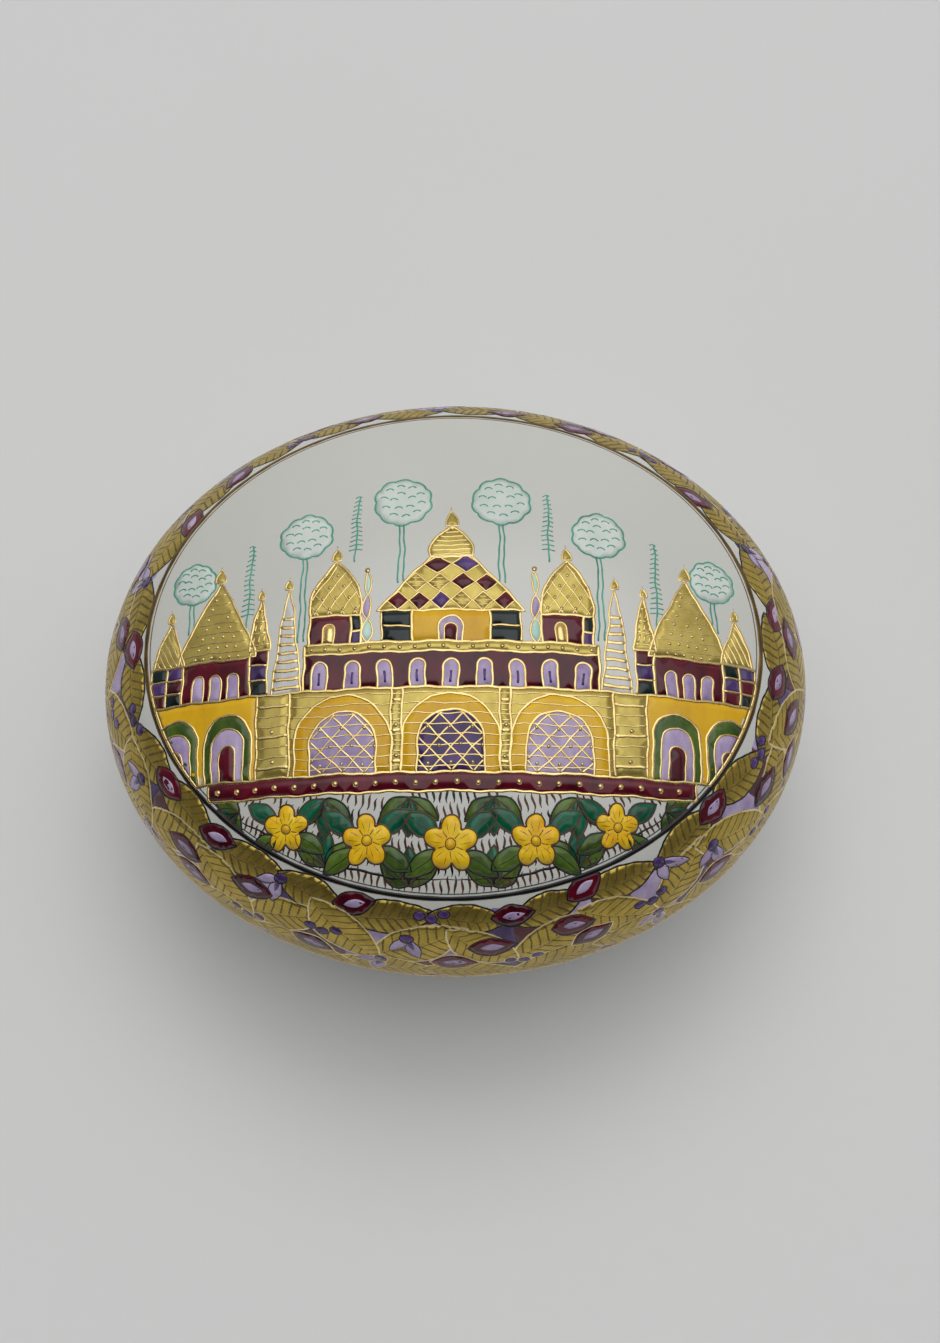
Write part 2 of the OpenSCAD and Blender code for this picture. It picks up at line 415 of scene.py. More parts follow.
class Paint:
    """Painted shapes on one surface, gathered by colour. Each shape is a thin closed shell."""

    def __init__(self, surface, name, body):
        self.surface, self.name, self.body = surface, name, body
        self.kept = {}

    def keep(self, colour, flat, lift, faces, smooth):
        if not len(faces):
            return
        store = self.kept.setdefault(colour, [])
        if self.surface.left_handed:
            faces = faces[:, ::-1]
        tone = np.full(len(flat), rng.uniform())
        store.append((flat, lift, faces, smooth, tone))

    def field(self, colour, outline, level=0):
        """A filled shape with a slightly rounded edge."""
        step = self.surface.step
        outline = self.surface.pull_in(tremble(fine_edges(outline, step, True)))
        gaps = np.hypot(*(outline - np.roll(outline, 1, 0)).T)
        outline = outline[gaps > 0.02]
        if len(outline) < 4:
            return
        verts, faces = triangulate(outline, step * 1.35)
        if not len(faces):
            return
        rim = border_of(faces, len(verts))
        top = field_top(level)
        lift = np.full(len(verts), top)
        lift[rim.ravel()] = top - EDGE_FALL
        n = len(verts)
        low_lift = np.full(n, -SINK)
        a, b = rim[:, 0], rim[:, 1]
        sides = np.concatenate([np.stack([a, a + n, b + n], -1), np.stack([a, b + n, b], -1)])
        all_faces = np.concatenate([faces, faces[:, ::-1] + n, sides])
        smooth = np.concatenate([np.ones(len(faces), bool), np.zeros(len(faces) + len(sides), bool)])
        self.keep(colour, np.concatenate([verts, verts]), np.concatenate([lift, low_lift]), all_faces, smooth)

    def line(self, colour, points, width, top=LINE_TOP, closed=False, taper=0.0):
        """A brush line with a rounded back. Taper is the share of each end that thins out."""
        path = self.surface.pull_in(tremble(fine_edges(points, 0.6, closed)))
        step = np.hypot(*(np.roll(path, -1, 0) - path).T)
        if not closed:
            step[-1] = 1
        path = path[step > 0.03]
        n = len(path)
        if n < (3 if closed else 2):
            return
        along = np.roll(path, -1, 0) - np.roll(path, 1, 0)
        if not closed:
            along[0], along[-1] = path[1] - path[0], path[-1] - path[-2]
        along /= np.maximum(np.hypot(*along.T), 1e-9)[:, None]
        left = np.stack([-along[:, 1], along[:, 0]], -1)
        place = np.arange(n)
        half = width / 2 * (1 + 0.12 * np.sin(place * 1.7 + rng.uniform(0, TAU)))
        if taper and not closed:
            share = np.minimum(place, n - 1 - place) / max(1.0, taper * n)
            half = half * (0.25 + 0.75 * np.clip(share, 0, 1))
        spread = np.array([1.0, 0.78, 0.0, -0.78, -1.0])
        height = np.array([-SINK, top * 0.72, top, top * 0.72, -SINK])
        flat = (path[:, None] + left[:, None] * (half[:, None] * spread)[..., None]).reshape(-1, 2)
        lift = np.tile(height, n)
        here = place if closed else place[:-1]
        faces = tube_faces(here, (here + 1) % n)
        if not closed:
            cap = np.array([[0, 1, 2], [0, 2, 3], [0, 3, 4]])
            faces = np.concatenate([faces, cap[:, [0, 2, 1]], cap + (n - 1) * SECTION])
        self.keep(colour, flat, lift, faces, np.ones(len(faces), bool))

    def panel(self, colour, outline, level=0, edge="gilt", width=0.5, top=GOLD_TOP):
        """A filled shape with a raised outline. With a top of None, a higher field covers the outline."""
        top = edge_top(level) if top is None else top
        self.field(colour, outline, level)
        self.line(edge, outline, width, top, closed=True)

    def dot(self, colour, x, y, size):
        self.field(colour, ring_points(x, y, size, size, 8), 4)

    def build(self):
        """One piece for each colour, which rides on the body."""
        made = {}
        for colour, shapes in self.kept.items():
            flat = np.concatenate([s[0] for s in shapes])
            lift = np.concatenate([s[1] for s in shapes])
            base = np.cumsum([0] + [len(s[0]) for s in shapes[:-1]])
            faces = np.concatenate([s[2] + b for s, b in zip(shapes, base)])
            smooth = np.concatenate([s[3] for s in shapes])
            tone = np.concatenate([s[4] for s in shapes])
            points = self.surface.place(flat, lift)
            obj = make_mesh(f"{self.name}_{colour}", points, faces, smooth, tone)
            obj.data.materials.append(finish_of(colour))
            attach(obj, self.body)
            made[colour] = obj
        return made


# ------------------------------------------------------------------ finishes
def linear(r, g, b):
    """A screen colour of 0 to 255 as a linear colour."""
    shares = [c / 255 for c in (r, g, b)]
    return tuple(s / 12.92 if s < 0.0405 else ((s + 0.055) / 1.055) ** 2.4 for s in shares) + (1.0,)


def ramp(tree, source, old, new, kind="LINEAR"):
    """A map from an old range of values to a new one."""
    node = tree.nodes.new("ShaderNodeMapRange")
    node.interpolation_type = kind
    for key, value in zip(("From Min", "From Max", "To Min", "To Max"), (*old, *new)):
        node.inputs[key].default_value = value
    tree.links.new(source, node.inputs["Value"])
    return node.outputs["Result"]


class Nodes:
    """A short way to write a material's nodes."""

    def __init__(self, name):
        self.material = bpy.data.materials.new(name)
        self.material.use_nodes = True
        self.tree = self.material.node_tree
        self.shader = self.tree.nodes["Principled BSDF"]
        self.place = self.add("ShaderNodeTexCoord").outputs["Object"]

    def add(self, kind, **settings):
        node = self.tree.nodes.new(kind)
        for key, value in settings.items():
            setattr(node, key, value)
        return node

    def link(self, source, target):
        self.tree.links.new(source, target)

    def noise(self, per_mm, detail=3.0, rough=0.55, stretch=None):
        """Noise with about per_mm features in a millimetre."""
        node = self.add("ShaderNodeTexNoise")
        node.inputs["Scale"].default_value = per_mm * 1000
        node.inputs["Detail"].default_value = detail
        node.inputs["Roughness"].default_value = rough
        source = self.place
        if stretch:
            mapping = self.add("ShaderNodeMapping")
            mapping.inputs["Scale"].default_value = stretch
            self.link(source, mapping.inputs["Vector"])
            source = mapping.outputs["Vector"]
        self.link(source, node.inputs["Vector"])
        return node.outputs["Fac"]

    def ranged(self, source, low, high, new_low, new_high):
        return ramp(self.tree, source, (low, high), (new_low, new_high))

    def mixed(self, factor, first, second):
        node = self.add("ShaderNodeMix", data_type="RGBA")
        self.link(factor, node.inputs["Factor"])
        for value, socket in ((first, node.inputs[6]), (second, node.inputs[7])):
            if isinstance(value, tuple):
                socket.default_value = value
            else:
                self.link(value, socket)
        return node.outputs[2]

    def tone(self):
        node = self.add("ShaderNodeAttribute", attribute_name="tone")
        return node.outputs["Fac"]

    def bump(self, source, height_mm, strength=1.0):
        node = self.add("ShaderNodeBump")
        node.inputs["Strength"].default_value = strength
        node.inputs["Distance"].default_value = height_mm * MM
        self.link(source, node.inputs["Height"])
        self.link(node.outputs["Normal"], self.shader.inputs["Normal"])

    def drive(self, **sources):
        """Links each source to the shader's socket of that name."""
        for key, source in sources.items():
            self.link(source, self.shader.inputs[key.replace("_", " ")])

    def set(self, **values):
        for key, value in values.items():
            self.shader.inputs[key.replace("_", " ")].default_value = value


def glaze():
    """White porcelain under a clear glaze, a little uneven like orange peel."""
    n = Nodes("porcelain_glaze")
    body = n.ranged(n.noise(0.02, 2), 0.35, 0.65, 0, 1)
    n.drive(Base_Color=n.mixed(body, (0.60, 0.595, 0.545, 1), (0.63, 0.625, 0.585, 1)))
    n.drive(Roughness=n.ranged(n.noise(0.06, 3), 0.3, 0.7, 0.07, 0.13))
    n.bump(n.noise(0.16, 2), 0.012, 0.5)
    n.set(IOR=1.52, Subsurface_Weight=0.08, Subsurface_Scale=0.0015)
    n.set(Coat_Weight=0.35, Coat_Roughness=0.04)
    return n.material


def biscuit():
    """Bare porcelain where the pieces are stood and rubbed."""
    n = Nodes("porcelain_biscuit")
    grain = n.noise(3.0, 5, 0.7)
    worn = n.ranged(n.noise(0.12, 3), 0.4, 0.65, 0, 1)
    n.drive(Base_Color=n.mixed(worn, (0.74, 0.71, 0.65, 1), (0.60, 0.56, 0.49, 1)))
    n.drive(Roughness=n.ranged(grain, 0.3, 0.7, 0.55, 0.85))
    n.bump(grain, 0.03, 0.7)
    return n.material


def enamel(name, thin, thick, rough=0.16, streak=0.35):
    """Glossy enamel laid on by brush, darker where it pooled and paler where it is thin."""
    n = Nodes(name)
    pooled = n.ranged(n.noise(streak, 4, 0.6, (1.0, 0.45, 1.0)), 0.32, 0.68, 0, 1)
    shade = n.add("ShaderNodeMath", operation="MULTIPLY_ADD")
    n.link(n.tone(), shade.inputs[0])
    shade.inputs[1].default_value = 0.45
    n.link(pooled, shade.inputs[2])
    share = n.ranged(shade.outputs[0], 0.1, 1.3, 0, 1)
    n.drive(Base_Color=n.mixed(share, linear(*thin), linear(*thick)))
    n.drive(Roughness=n.ranged(n.noise(0.5, 3), 0.3, 0.7, rough * 0.7, rough * 1.6))
    n.bump(n.noise(0.9, 3), 0.012, 0.6)
    n.set(IOR=1.45, Coat_Weight=0.15, Coat_Roughness=0.06)
    return n.material


def gold(name, bright, dull, low, high, metal=1.0, grain=1.5):
    """Fired gold: brushed unevenly, duller where it is rubbed."""
    n = Nodes(name)
    worn = n.ranged(n.noise(0.35, 4, 0.65), 0.4, 0.72, 0, 1)
    n.drive(Base_Color=n.mixed(worn, (*bright, 1), (*dull, 1)))
    rub = n.noise(grain, 4, 0.65, (1.0, 0.5, 1.0))
    n.drive(Roughness=n.ranged(rub, 0.3, 0.7, low, high))
    n.bump(rub, 0.010, 0.8)
    n.set(Metallic=metal, IOR=1.6)
    return n.material


def dark_gold():
    """The dark line round the picture: gold over black, rubbed through in patches at random, and turned black
    along the front as painted shade.
    """
    n = Nodes("gilt_bronze")
    split = n.add("ShaderNodeSeparateXYZ")
    n.link(n.place, split.inputs["Vector"])
    # Painted shade: the line goes black along the front of the lid, which gets less light, and gold toward
    # the back.
    painted_front_shade = n.ranged(split.outputs["Y"], -24 * MM, -6 * MM, 0, 1)
    # The gold's share: that painted shade times patches that differ at random.
    worn = n.add("ShaderNodeMath", operation="MULTIPLY")
    n.link(painted_front_shade, worn.inputs[0])
    n.link(n.ranged(n.noise(0.3, 4), 0.25, 0.65, 0.3, 1), worn.inputs[1])
    gilt = worn.outputs[0]
    n.drive(Base_Color=n.mixed(gilt, (0.008, 0.006, 0.005, 1), (0.25, 0.155, 0.05, 1)))
    n.drive(Roughness=n.ranged(gilt, 0, 1, 0.2, 0.36))
    n.drive(Metallic=n.ranged(gilt, 0, 0.6, 0.1, 0.9))
    n.bump(n.noise(1.5, 3), 0.01, 0.6)
    return n.material


# Golds: name, bright and dull colour, roughness burnished and rubbed, then metal share and grain per mm
GOLDS = {
    "gilt": ("gilt_line", (1.0, 0.76, 0.33), (0.80, 0.55, 0.20), 0.16, 0.34),
    "gilt_band": ("gilt_band", (1.0, 0.66, 0.20), (0.90, 0.54, 0.15), 0.2, 0.40, 0.25),
    "olive": ("gilt_field", (0.66, 0.51, 0.13), (0.50, 0.38, 0.085), 0.28, 0.46, 0.72, 0.8),
    "leaf_gold": ("gilt_leaf", (0.56, 0.40, 0.075), (0.36, 0.255, 0.042), 0.26, 0.44, 0.85, 0.8),
    "pale_gilt": ("gilt_pale", (0.88, 0.74, 0.42), (0.70, 0.54, 0.26), 0.24, 0.42, 0.8),
    "umber": ("gilt_shade", (0.17, 0.115, 0.022), (0.085, 0.055, 0.010), 0.34, 0.55, 0.35),
}

# Enamels: name, screen colour where thin and where pooled, then roughness and brush streaks per mm
ENAMELS = {
    "burgundy": ("enamel_burgundy", (106, 10, 34), (52, 2, 16)),
    "purple": ("enamel_purple", (98, 66, 134), (50, 30, 76)),
    "lilac": ("enamel_lilac", (196, 178, 208), (150, 126, 172), 0.22),
    "yellow": ("enamel_yellow", (240, 192, 30), (210, 156, 12), 0.2, 0.15),
    "bloom": ("enamel_bloom", (250, 214, 40), (236, 176, 14), 0.2),
    "green": ("enamel_green", (14, 112, 78), (4, 62, 44)),
    "moss": ("enamel_moss", (92, 118, 40), (46, 70, 18)),
    "teal": ("enamel_teal", (96, 176, 152), (58, 134, 112), 0.25),
    "mist": ("enamel_mist", (218, 223, 215), (202, 213, 203), 0.14),
    "porcelain_white": ("enamel_white", (216, 214, 210), (196, 194, 194), 0.16),
    "mint": ("enamel_mint", (206, 232, 222), (176, 216, 202), 0.25),
    "night": ("enamel_night", (22, 40, 36), (8, 14, 16)),
    "ink": ("enamel_ink", (26, 20, 20), (8, 6, 7), 0.2),
    "sepia": ("enamel_sepia", (98, 58, 34), (58, 32, 18), 0.28),
}
made_finishes = {}


def finish_of(colour):
    """The colour's material, made the first time that it is asked for."""
    if colour not in made_finishes:
        if colour in GOLDS:
            made_finishes[colour] = gold(*GOLDS[colour])
        elif colour in ENAMELS:
            made_finishes[colour] = enamel(*ENAMELS[colour])
        else:
            made_finishes[colour] = dark_gold()
    return made_finishes[colour]


# ------------------------------------------------------------------ outlines
def ring_points(x, y, rx, ry, n, start=0.0, stop=TAU):
    """Points round an oval, or along a part of one."""
    a = np.linspace(start, stop, n, endpoint=stop - start < TAU - 1e-6)
    return np.stack([x + rx * np.cos(a), y + ry * np.sin(a)], -1)


def oblong(x0, y0, x1, y1):
    return np.array([[x0, y0], [x1, y0], [x1, y1], [x0, y1]], float)


def bezier(a, b, c, d, n=12):
    t = np.linspace(0, 1, n)[:, None]
    a, b, c, d = (np.array(p, float) for p in (a, b, c, d))
    return (1 - t) ** 3 * a + 3 * t * (1 - t) ** 2 * b + 3 * t**2 * (1 - t) * c + t**3 * d


def paired(half, x):
    """An outline from its right half, bottom to top, and that half's mirror image."""
    half = np.asarray(half, float)
    other = half[::-1] * [-1, 1] + [2 * x, 0]
    return np.concatenate([half, other[1:] if abs(half[-1, 0] - x) < 1e-6 else other])


def turned(points, angle, x=0.0, y=0.0):
    """Points turned about the origin and then moved."""
    c, s = math.cos(angle), math.sin(angle)
    return np.asarray(points) @ np.array([[c, s], [-s, c]]) + [x, y]


def round_arch(x, y, w, h, n):
    top = ring_points(x, y + h - w / 2, w / 2, w / 2, n, 0, math.pi)
    return np.concatenate([[[x + w / 2, y]], top, [[x - w / 2, y]]])


def spire(x, y, w, h):
    """A cone roof with sides that bow a little."""
    low, high = (x + w * 0.42, y + 0.35 * h), (x + w * 0.16, y + 0.7 * h)
    return paired(bezier((x + w / 2, y), low, high, (x, y + h), 8), x)


def dome_outline(x, y, w, h, n=14):
    """A tall dome that draws in to a point."""
    low, high = (x + w * 0.56, y + 0.30 * h), (x + w * 0.36, y + 0.66 * h)
    return paired(bezier((x + w * 0.46, y), low, high, (x, y + h), n), x)


def spans(outline, angle, gap, inset):
    """Straight runs across a closed outline, gap apart."""
    flat = turned(outline, -angle)
    low, high = flat[:, 1].min(), flat[:, 1].max()
    found = []
    for level in np.arange(low + gap * 0.6, high, gap):
        y0, y1 = flat[:, 1], np.roll(flat[:, 1], -1)
        x0, x1 = flat[:, 0], np.roll(flat[:, 0], -1)
        hit = (y0 > level) != (y1 > level)
        cross = np.sort(x0[hit] + (level - y0[hit]) * (x1[hit] - x0[hit]) / (y1[hit] - y0[hit]))
        for a, b in zip(cross[::2], cross[1::2]):
            if b - a > 2 * inset + 0.3:
                found.append(turned([[a + inset, level], [b - inset, level]], angle))
    return found


def hatch(p, outline, degrees, gap, width):
    """Gold lines across a shape, gap apart."""
    for run in spans(outline, math.radians(degrees), gap, 0.1):
        p.line("gilt", run, width, HATCH_TOP)


def lattice(p, outline, degrees, gap, width=0.3):
    """Gold lines that cross, with rows of gold dots."""
    hatch(p, outline, degrees, gap, width)
    hatch(p, outline, -degrees, gap, width)
    low, high = outline.min(0), outline.max(0)
    across = gap / math.sin(math.radians(degrees))
    for row, y in enumerate(np.arange(low[1] + gap * 0.6, high[1] - gap * 0.4, gap * 1.1)):
        xs = np.arange(low[0] + across * (0.5 + 0.5 * (row % 2)), high[0], across)
        spots = np.stack([xs, np.full(len(xs), y)], -1)
        for x, y in spots[inside(outline, spots)]:
            p.dot("gilt", x, y, 0.28)


# ------------------------------------------------------------------ motifs of the town
# Levels of the town in the picture: the hall's floor, the gallery's floor and the ground
TERRACE = -4.0
GALLERY = -11.0
GROUND = -23.2


def finial(p, x, y, size):
    """A gold bud and point on a short stem."""
    bulb = dome_outline(x, y + 0.5 * size, 1.7 * size, 2.2 * size, 8)
    p.line("gilt", [[x, y - 0.2], [x, y + 0.8 * size]], 0.5 * size, GOLD_TOP)
    p.panel("olive", bulb, 2, width=0.34)
    p.line("gilt", [[x, y + 2.5 * size], [x, y + 3.5 * size]], 0.3 * size, GOLD_TOP, taper=0.5)


def cone_roof(p, x, y, w, h, style, knob):
    """A pointed gold roof with slanting lines, banded courses or dots."""
    outline = spire(x, y, w, h)
    p.panel("olive", outline, 2)
    if style == "slant":
        hatch(p, outline, 118, 0.85, 0.34)
    if style == "bands":
        for low in np.arange(0.9, h * 0.9, 1.9):
            half = w / 2 * (1 - low / h)
            p.line("gilt", [[x - half, y + low], [x + half, y + low]], 0.42, GOLD_TOP)
            for step in np.arange(-half * 0.7, half * 0.8, 0.8):
                stroke = [[x + step, y + low + 0.3], [x + step + 0.3, y + low + 1.5]]
                p.line("gilt", stroke, 0.28, HATCH_TOP)
    if style == "dots":
        for low in np.arange(1.3, h * 0.86, 1.6):
            half = w / 2 * (1 - low / h)
            p.line("gilt", [[x - half, y + low], [x + half, y + low]], 0.28, HATCH_TOP)
            for step in np.linspace(-half * 0.6, half * 0.6, max(1, int(half * 1.1))):
                p.dot("gilt", x + step, y + low - 0.7, 0.3)
    finial(p, x, y + h - 0.3, knob)


def domed_tower(p, x, y, w, h, dome_h):
    """A small keep with a door, under a latticed dome."""
    left, right = x - w / 2, x + w / 2
    p.panel("burgundy", oblong(left, y, right - w * 0.2, y + h), 1)
    p.panel("night", oblong(right - w * 0.2, y + h * 0.45, right, y + h), 1)
    p.panel("purple", oblong(right - w * 0.2, y, right, y + h * 0.45), 1)
    p.panel("gilt", round_arch(x - w * 0.12, y, w * 0.22, h * 0.7, 8), 2, width=0.3)
    outline = dome_outline(x, y + h, w * 1.06, dome_h)
    p.panel("olive", outline, 2)
    lattice(p, outline, 56, 1.7)
    finial(p, x, y + h + dome_h - 0.3, 0.9)


def minaret(p, x, y, h, w):
    """A slim turret drawn as a string of three pointed ovals."""
    part = h / 3
    for k in range(3):
        low = y + k * part
        wide = w * (1 - 0.22 * k)
        near, far = (x + wide * 0.66, low + part * 0.3), (x + wide * 0.5, low + part * 0.8)
        outline = paired(bezier((x, low), near, far, (x, low + part), 9), x)
        p.field("lilac" if k % 2 else "mint", outline, 1)
        p.line("gilt", outline, 0.34, GOLD_TOP, closed=True)
    p.dot("gilt", x, y + h + 0.4, 0.42)


def thin_spire(p, x, y, w, h):
    """A tall tapering turret with level courses."""
    outline = paired([(x + w / 2, y), (x + w * 0.16, y + h * 0.8), (x, y + h)], x)
    p.panel("porcelain_white", outline, 1, width=0.36)
    for low in np.arange(0.9, h * 0.76, 1.35):
        half = w / 2 * (1 - 0.85 * low / h)
        p.line("gilt", [[x - half, y + low], [x + half, y + low]], 0.66, GOLD_TOP)
    finial(p, x, y + h - 0.3, 0.7)


def window_grid(p, x0, y0, x1, y1, columns, rows, colours):
    """Panes in rows and columns between gold bars."""
    xs, ys = np.linspace(x0, x1, columns + 1), np.linspace(y0, y1, rows + 1)
    for i in range(columns):
        for j in range(rows):
            p.field(colours[(i + 2 * j) % len(colours)], oblong(xs[i], ys[j], xs[i + 1], ys[j + 1]), 1)
    for x in xs:
        p.line("gilt", [[x, y0], [x, y1]], 0.38, GOLD_TOP)
    for y in ys:
        p.line("gilt", [[x0, y], [x1, y]], 0.38, GOLD_TOP)


def lozenge_gable(p, x, y, w, h, top_w):
    """A sloping gable set with coloured lozenges."""
    outline = paired([(x + w / 2, y), (x + top_w / 2, y + h)], x)
    p.field("olive", outline, 0)
    rows, size = 3, h / 3
    wheel = ("burgundy", "olive", "burgundy", "olive", "purple")
    for row in range(rows):
        wide = w * (1 - (row + 0.5) / rows) + top_w * (row + 0.5) / rows
        count = max(2, int(wide / (size * 1.05)))
        for k in range(count):
            cx = x + (k - (count - 1) / 2) * (wide / count)
            cy = y + (row + 0.5) * size
            half = wide / count / 2
            shape = [[cx + half, cy], [cx, cy + size / 2], [cx - half, cy], [cx, cy - size / 2]]
            colour = wheel[(2 * k + row) % len(wheel)]
            p.panel(colour, shape, 1 + row % 2, width=0.32)
            if colour == "olive":
                hatch(p, np.array(shape), 0, 0.62, 0.2)
    p.line("gilt", outline, 0.46, GOLD_TOP, closed=True)


def central_hall(p):
    """The hall in the middle, under a lozenge gable and a gold cap."""
    floor, eaves, ridge = TERRACE, TERRACE + 5.0, TERRACE + 14.2
    p.panel("yellow", oblong(-5.8, floor, 5.8, eaves), 0)
    window_grid(p, -10.4, floor, -5.8, eaves, 1, 2, ("night", "purple"))
    window_grid(p, 5.8, floor, 10.4, eaves, 1, 2, ("night", "purple"))
    p.panel("lilac", round_arch(0, floor, 3.6, 4.0, 10), 1, width=0.44)
    p.panel("burgundy", round_arch(0, floor, 1.9, 2.8, 8), 2, width=0.3)
    lozenge_gable(p, 0, eaves, 22, ridge - eaves, 6.0)
    cap = dome_outline(0, ridge - 0.2, 7.0, 5.6)
    p.panel("olive", cap, 2)
    hatch(p, cap, 0, 0.8, 0.34)
    finial(p, 0, ridge + 4.9, 1.2)


def gallery(p, x0, x1, y0, y1):
    """The burgundy storey, with an even row of arched windows under a gold course."""
    p.panel("burgundy", oblong(x0, y0, x1, y1), 0)
    for x in np.linspace(x0 + 2.4, x1 - 2.4, 9):
        p.panel("lilac", round_arch(x, y0, 2.3, 4.3, 10), 1, width=0.44)
        p.line("purple", [[x, y0 + 0.8], [x, y0 + 2.6]], 0.42)
    p.panel("olive", oblong(x0, y1 - 1.5, x1, y1), 2)
    for x in np.arange(x0 + 1.1, x1, 2.2):
        p.dot("gilt", x, y1 - 0.75, 0.34)


def pillar(p, x0, y0, x1, y1):
    """A gold pillar with level courses and a few studs."""
    course = 1.5
    p.panel("olive", oblong(x0, y0, x1, y1), 2)
    for k, y in enumerate(np.arange(y0 + course, y1 - 0.3, course)):
        p.line("gilt", [[x0, y], [x1, y]], 0.3 if k % 3 else 0.6, COURSE_TOP)
    for y in np.arange(y0 + course * 1.5, y1 - course, course * 3):
        p.dot("gilt", (x0 + x1) / 2, y, 0.36)


def arcade(p, y0, y1):
    """Three round yellow arches in a gold wall, each with a latticed window."""
    h = y1 - y0
    wall = oblong(-24.1, y0, 24.1, y1)
    p.panel("olive", wall, 0)
    hatch(p, wall, 0, 1.5, 0.26)
    for x, pane in ((-16, "lilac"), (0, "purple"), (16, "lilac")):
        p.panel("yellow", round_arch(x, y0, 14.6, h - 0.8, 20), 1, width=0.5)
        window = round_arch(x, y0, 10.0, h - 3.2, 18)
        p.panel(pane, window, 2, width=0.5)
        lattice(p, window, 45, 2.3, 0.36)
    for x in (-8, 8):
        pillar(p, x - 0.8, y0, x + 0.8, y1)
    for x in (-26.6, 26.6):
        pillar(p, x - 2.5, y0, x + 2.5, y1)


def quarter(p, side):
    """Three towers and a spire over a yellow wall with arches, the same on the left and the right."""
    floor, ground = GALLERY, GROUND

    def block(near, far, low, high):
        a, b = sorted((side * near, side * far))
        return a, low, b, high

    window_grid(p, *block(41.2, 46.5, floor, floor + 6.2), 2, 3, ("burgundy", "night", "purple"))
    cone_roof(p, side * 43.6, floor + 6.2, 5.2, 7.4, "slant", 0.7)
    p.panel("burgundy", oblong(*block(30.4, 41.2, floor, floor + 6.2)), 0)
    for x in (33.0, 35.8, 38.6):
        p.panel("lilac", round_arch(side * x, floor, 1.8, 4.0, 8), 2, width=0.34)
    cone_roof(p, side * 35.8, floor + 6.2, 12.6, 13.0, "dots", 1.0)
    window_grid(p, *block(27.6, 30.4, floor, floor + 7), 1, 3, ("night", "burgundy", "purple"))
    cone_roof(p, side * 29.0, floor + 7, 3.4, 8.6, "bands", 0.6)
    thin_spire(p, side * 24.6, floor, 4.6, 16.5)
    p.panel("yellow", oblong(*block(29.1, 47, ground, floor)), 0)
    for x in (33.6, 42.0):
        p.panel("moss", round_arch(side * x, ground, 7.4, 9.8, 14), 1)
        p.panel("lilac", round_arch(side * x, ground, 5.0, 7.8, 12), 2, width=0.36)
        p.panel("burgundy", round_arch(side * x, ground, 2.5, 5.2, 10), 3, width=0.36)


def terrace_wall(p, reach, y, height):
    """A low burgundy wall with gold studs between the town and the garden."""
    p.panel("burgundy", oblong(-reach, y - height, reach, y), 2.6, width=0.44)
    for x in np.arange(-reach + 1.5, reach, 3.0):
        p.dot("gilt", x, y - height / 2, 0.42)


# ------------------------------------------------------------------ trees
def round_tree(p, x, y, radius, foot):
    """A round-headed tree drawn in thin lines, with short arcs for its leaves."""
    turns = np.linspace(0, TAU, 60, endpoint=False)
    reach = radius * (1 + 0.07 * np.abs(np.sin(turns * 5)))
    outline = np.stack([x + reach * np.cos(turns), y + reach * np.sin(turns)], -1)
    p.field("mist", 0.97 * outline + 0.03 * np.array([x, y]), 0)
    p.line("teal", outline, 0.34, CANOPY_TOP, closed=True)
    for ring, count in ((0.36, 5), (0.70, 10)):
        for k in range(count):
            turn = TAU * (k + ring) / count
            cx, cy = x + radius * ring * math.cos(turn), y + radius * ring * math.sin(turn)
            p.line("teal", ring_points(cx, cy, 0.62, 0.5, 6, 0.3, 2.8), 0.26, ARC_TOP)
    for side in (-0.3, 0.3):
        p.line("teal", [[x + side, y - radius], [x + side * 1.5, foot]], 0.3, THIN_TOP)


def pine(p, x, y, h):
    """A slim conifer drawn like a ladder."""
    p.line("teal", [[x, y], [x + 0.2, y + h]], 0.3, THIN_TOP)
    for low in np.arange(h * 0.18, h, 0.85):
        half = 1.15 * (1 - 0.55 * low / h)
        branches = [[x - half, y + low - 0.2], [x, y + low + 0.1], [x + half, y + low - 0.15]]
        p.line("teal", branches, 0.24, THIN_TOP)


def garden_trees(p):
    """Thin-line trees behind the roofs, the same on the left and the right."""
    for side in (-1, 1):
        for x, y, radius, foot in ((7.6, 20.4, 4.3, 5.4), (22.5, 14.8, 3.9, -3.2), (40.2, 8.8, 3.4, 0.2)):
            round_tree(p, side * x, y, radius, foot)
        for x, low, height in ((14.7, 9.4, 12.6), (31.1, -0.4, 14.6)):
            pine(p, side * x, low, height)


# ------------------------------------------------------------------ plants
def petal(x, y, degrees, length, width, n=10):
    """A pointed oval from its stalk end outward."""
    t = np.linspace(0, 1, n)
    half = width / 2 * np.sin(np.pi * t) ** 0.85 * (1.12 - 0.24 * t)
    side = np.stack([t * length, -half], -1)
    other = np.stack([t * length, half], -1)[::-1][1:-1]
    return turned(np.concatenate([side, other]), math.radians(degrees), x, y)


def leaf(p, x, y, degrees, length, width, colour, edge, level, vein, gap=0, edge_width=0.3, stroke=0.24):
    """A pointed leaf with its rib, and with side veins gap apart where there is a gap."""
    outline = petal(x, y, degrees, length, width, 12)
    p.panel(colour, outline, level, edge, edge_width, None)
    top = edge_top(level)
    a = math.radians(degrees)
    spine = np.stack([np.linspace(0.02, 0.94, 8) * length, 0.05 * width * np.sin(np.linspace(0, 3, 8))], -1)
    p.line(vein, turned(spine, a, x, y), 0.24, top - 0.002, taper=0.3)
    if not gap:
        return
    flat = turned(outline - [x, y], -a)
    upper, lower = flat[flat[:, 1] >= -0.01], flat[flat[:, 1] <= 0.01]
    for part, lean in ((upper, 62), (lower, -62)):
        if len(part) > 3:
            for run in spans(part, math.radians(lean), gap, 0.12):
                p.line(vein, turned(run, a, x, y), stroke, top - 0.003)


